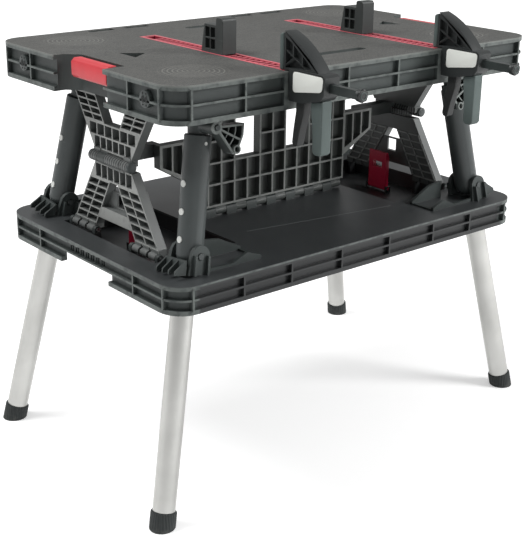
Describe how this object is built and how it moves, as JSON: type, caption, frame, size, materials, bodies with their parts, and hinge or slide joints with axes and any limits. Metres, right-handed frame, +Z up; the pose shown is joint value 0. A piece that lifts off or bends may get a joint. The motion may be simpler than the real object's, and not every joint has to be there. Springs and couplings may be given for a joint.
{
  "type": "folding workbench",
  "caption": "Folding workbench with a ribbed top and deck, bi-fold end panels, swing-down posts and web, fold-in aluminium legs, sliding stops and quick clamps.",
  "frame": {"origin": "on the floor, under the middle of the whole outline", "axes": "+X along the bench's long side, -Y towards the clamps, +Z up"},
  "size_m": [0.942, 0.7112, 0.817],
  "materials": {
    "shell": "fine moulded texture",
    "dark": "satin moulded",
    "grey": "fine moulded texture",
    "red": "satin moulded",
    "aluminium": "brushed and anodised",
    "rubber": "matt",
    "steel": "zinc plated",
    "handle": "soft touch"
  },
  "bodies": {
    "base": {"base_tray": "shell", "left_front_base_pin": "steel", "left_rear_base_pin": "steel", "right_front_base_pin": "steel", "right_rear_base_pin": "steel", "web_pin": "steel"},
    "left_lower": {"left_lower_panel": "grey", "left_panel_bay": "grey", "left_waist_pin": "steel"},
    "left_upper": {"left_upper_panel": "grey", "left_front_top_pin": "steel", "left_rear_top_pin": "steel"},
    "right_lower": {"right_lower_panel": "grey", "right_panel_bay": "grey", "right_waist_pin": "steel"},
    "right_upper": {"right_upper_panel": "grey", "right_front_top_pin": "steel", "right_rear_top_pin": "steel"},
    "top": {"top_panel": "shell", "left_track": "red", "right_track": "red", "left_clamp_bar": "steel", "right_clamp_bar": "steel"},
    "web": {"web_panel": "grey"},
    "left_arm": {"left_arm_link": "dark"},
    "left_latch": {"left_base_latch": "red"},
    "right_arm": {"right_arm_link": "dark"},
    "right_latch": {"right_base_latch": "red"},
    "post_front_left": {"post_front_left": "dark"},
    "lever_front_left": {"lock_lever_front_left": "dark"},
    "post_front_right": {"post_front_right": "dark"},
    "lever_front_right": {"lock_lever_front_right": "dark"},
    "post_rear_left": {"post_rear_left": "dark"},
    "lever_rear_left": {"lock_lever_rear_left": "dark"},
    "post_rear_right": {"post_rear_right": "dark"},
    "lever_rear_right": {"lock_lever_rear_right": "dark"},
    "leg_front_left": {"leg_head_front_left": "dark", "leg_tube_front_left": "aluminium", "leg_foot_front_left": "rubber"},
    "leg_front_right": {"leg_head_front_right": "dark", "leg_tube_front_right": "aluminium", "leg_foot_front_right": "rubber"},
    "leg_rear_left": {"leg_head_rear_left": "dark", "leg_tube_rear_left": "aluminium", "leg_foot_rear_left": "rubber"},
    "leg_rear_right": {"leg_head_rear_right": "dark", "leg_tube_rear_right": "aluminium", "leg_foot_rear_right": "rubber"},
    "left_clamp": {"left_clamp_body": "dark", "left_clamp_grip": "handle", "left_clamp_pad": "rubber"},
    "left_trigger": {"left_clamp_trigger": "handle"},
    "left_dog_slider": {"left_dog": "dark"},
    "left_grip": {"left_notch_grip": "red"},
    "right_clamp": {"right_clamp_body": "dark", "right_clamp_grip": "handle", "right_clamp_pad": "rubber"},
    "right_trigger": {"right_clamp_trigger": "handle"},
    "right_dog_slider": {"right_dog": "dark"},
    "right_grip": {"right_notch_grip": "red"}
  },
  "joints": [
    {"name": "fold", "type": "hinge", "parent": "base", "child": "left_lower", "pos_m": [-0.36, 0.07344, 0.433], "axis": [0, 1, 0], "range_deg": [0, 85]},
    {"name": "left_waist", "type": "hinge", "parent": "left_lower", "child": "left_upper", "pos_m": [-0.36, 0.07344, 0.575], "axis": [0, 1, 0], "range_deg": [-171, 0]},
    {"name": "top_pivot", "type": "hinge", "parent": "left_upper", "child": "top", "pos_m": [-0.36, 0.07344, 0.717], "axis": [0, 1, 0], "range_deg": [0, 86]},
    {"name": "right_foot", "type": "hinge", "parent": "base", "child": "right_lower", "pos_m": [0.36, 0.07344, 0.433], "axis": [0, -1, 0], "range_deg": [0, 86]},
    {"name": "right_waist", "type": "hinge", "parent": "right_lower", "child": "right_upper", "pos_m": [0.36, 0.07344, 0.575], "axis": [0, -1, 0], "range_deg": [-171, 0]},
    {"name": "web_swing", "type": "hinge", "parent": "base", "child": "web", "pos_m": [0, 0.07344, 0.441], "axis": [1, 0, 0], "range_deg": [0, 90]},
    {"name": "left_arm_pivot", "type": "hinge", "parent": "left_lower", "child": "left_arm", "pos_m": [-0.36, 0.09744, 0.575], "axis": [0, 1, 0], "range_deg": [-86, 0]},
    {"name": "left_latch_fold", "type": "hinge", "parent": "base", "child": "left_latch", "pos_m": [-0.316, 0.06244, 0.407], "axis": [0, 1, 0], "range_deg": [0, 86]},
    {"name": "right_arm_pivot", "type": "hinge", "parent": "right_lower", "child": "right_arm", "pos_m": [0.36, 0.09744, 0.575], "axis": [0, -1, 0], "range_deg": [-86, 0]},
    {"name": "right_latch_fold", "type": "hinge", "parent": "base", "child": "right_latch", "pos_m": [0.316, 0.08444, 0.407], "axis": [0, -1, 0], "range_deg": [0, 86]},
    {"name": "post_fold_front_left", "type": "hinge", "parent": "base", "child": "post_front_left", "pos_m": [-0.34551, -0.13278, 0.458], "axis": [0, 0.9936, -0.1133], "range_deg": [0, 80]},
    {"name": "lever_swing_front_left", "type": "hinge", "parent": "post_front_left", "child": "lever_front_left", "pos_m": [-0.30718, -0.10917, 0.66517], "axis": [0, -0.9936, 0.1133], "range_deg": [0, 108]},
    {"name": "post_fold_front_right", "type": "hinge", "parent": "base", "child": "post_front_right", "pos_m": [0.34551, -0.13278, 0.458], "axis": [0, -0.9936, 0.1133], "range_deg": [0, 80]},
    {"name": "lever_swing_front_right", "type": "hinge", "parent": "post_front_right", "child": "lever_front_right", "pos_m": [0.30718, -0.10917, 0.66517], "axis": [0, 0.9936, -0.1133], "range_deg": [0, 108]},
    {"name": "post_fold_rear_left", "type": "hinge", "parent": "base", "child": "post_rear_left", "pos_m": [-0.34551, 0.27966, 0.458], "axis": [0, 0.9936, 0.1133], "range_deg": [0, 80]},
    {"name": "lever_swing_rear_left", "type": "hinge", "parent": "post_rear_left", "child": "lever_rear_left", "pos_m": [-0.30718, 0.25604, 0.66517], "axis": [0, -0.9936, -0.1133], "range_deg": [0, 108]},
    {"name": "post_fold_rear_right", "type": "hinge", "parent": "base", "child": "post_rear_right", "pos_m": [0.34551, 0.27966, 0.458], "axis": [0, -0.9936, -0.1133], "range_deg": [0, 80]},
    {"name": "lever_swing_rear_right", "type": "hinge", "parent": "post_rear_right", "child": "lever_rear_right", "pos_m": [0.30718, 0.25604, 0.66517], "axis": [0, 0.9936, 0.1133], "range_deg": [0, 108]},
    {"name": "leg_fold_front_left", "type": "hinge", "parent": "base", "child": "leg_front_left", "pos_m": [-0.36156, -0.13875, 0.4035], "axis": [-0.0483, -0.991, 0.1252], "range_deg": [0, 101.61]},
    {"name": "leg_fold_front_right", "type": "hinge", "parent": "base", "child": "leg_front_right", "pos_m": [0.36156, -0.13875, 0.4035], "axis": [0.0803, 0.9919, -0.098], "range_deg": [0, 102.44]},
    {"name": "leg_fold_rear_left", "type": "hinge", "parent": "base", "child": "leg_rear_left", "pos_m": [-0.36156, 0.28563, 0.4035], "axis": [0.0483, -0.991, -0.1252], "range_deg": [0, 101.61]},
    {"name": "leg_fold_rear_right", "type": "hinge", "parent": "base", "child": "leg_rear_right", "pos_m": [0.36156, 0.28563, 0.4035], "axis": [-0.0803, 0.9919, 0.098], "range_deg": [0, 102.44]},
    {"name": "left_clamp_slide", "type": "slide", "parent": "top", "child": "left_clamp", "axis": [0, -1, 0], "range_m": [0, 0.055]},
    {"name": "left_trigger_pull", "type": "hinge", "parent": "left_clamp", "child": "left_trigger", "pos_m": [-0.182, -0.22356, 0.717], "axis": [-1, 0, 0], "range_deg": [0, 16], "stiffness_Nm_per_rad": 0.6},
    {"name": "left_dog_slide", "type": "slide", "parent": "top", "child": "left_dog_slider", "axis": [0, 1, 0], "range_m": [-0.13, 0.16]},
    {"name": "left_grip_pull", "type": "hinge", "parent": "top", "child": "left_grip", "pos_m": [-0.388, 0.07044, 0.746], "axis": [0, 1, 0], "range_deg": [0, 18], "stiffness_Nm_per_rad": 0.8},
    {"name": "right_clamp_slide", "type": "slide", "parent": "top", "child": "right_clamp", "axis": [0, -1, 0], "range_m": [0, 0.055]},
    {"name": "right_trigger_pull", "type": "hinge", "parent": "right_clamp", "child": "right_trigger", "pos_m": [0.182, -0.22356, 0.717], "axis": [-1, 0, 0], "range_deg": [0, 16], "stiffness_Nm_per_rad": 0.6},
    {"name": "right_dog_slide", "type": "slide", "parent": "top", "child": "right_dog_slider", "axis": [0, 1, 0], "range_m": [-0.15, 0.13]},
    {"name": "right_grip_pull", "type": "hinge", "parent": "top", "child": "right_grip", "pos_m": [0.388, 0.07044, 0.746], "axis": [0, -1, 0], "range_deg": [0, 18], "stiffness_Nm_per_rad": 0.8}
  ],
  "couplings": [
    {"joint": "left_waist", "follows": "fold", "ratio": -2},
    {"joint": "top_pivot", "follows": "fold", "ratio": 1},
    {"joint": "right_foot", "follows": "fold", "ratio": 1},
    {"joint": "right_waist", "follows": "fold", "ratio": -2},
    {"joint": "web_swing", "follows": "fold", "ratio": 1.0471},
    {"joint": "left_arm_pivot", "follows": "fold", "ratio": -1},
    {"joint": "left_latch_fold", "follows": "fold", "ratio": 1},
    {"joint": "right_arm_pivot", "follows": "fold", "ratio": -1},
    {"joint": "right_latch_fold", "follows": "fold", "ratio": 1},
    {"joint": "post_fold_front_left", "follows": "fold", "ratio": 0.93629},
    {"joint": "lever_swing_front_left", "follows": "fold", "ratio": 1.26},
    {"joint": "post_fold_front_right", "follows": "fold", "ratio": 0.93629},
    {"joint": "lever_swing_front_right", "follows": "fold", "ratio": 1.26},
    {"joint": "post_fold_rear_left", "follows": "fold", "ratio": 0.93629},
    {"joint": "lever_swing_rear_left", "follows": "fold", "ratio": 1.26},
    {"joint": "post_fold_rear_right", "follows": "fold", "ratio": 0.93629},
    {"joint": "lever_swing_rear_right", "follows": "fold", "ratio": 1.26}
  ]
}
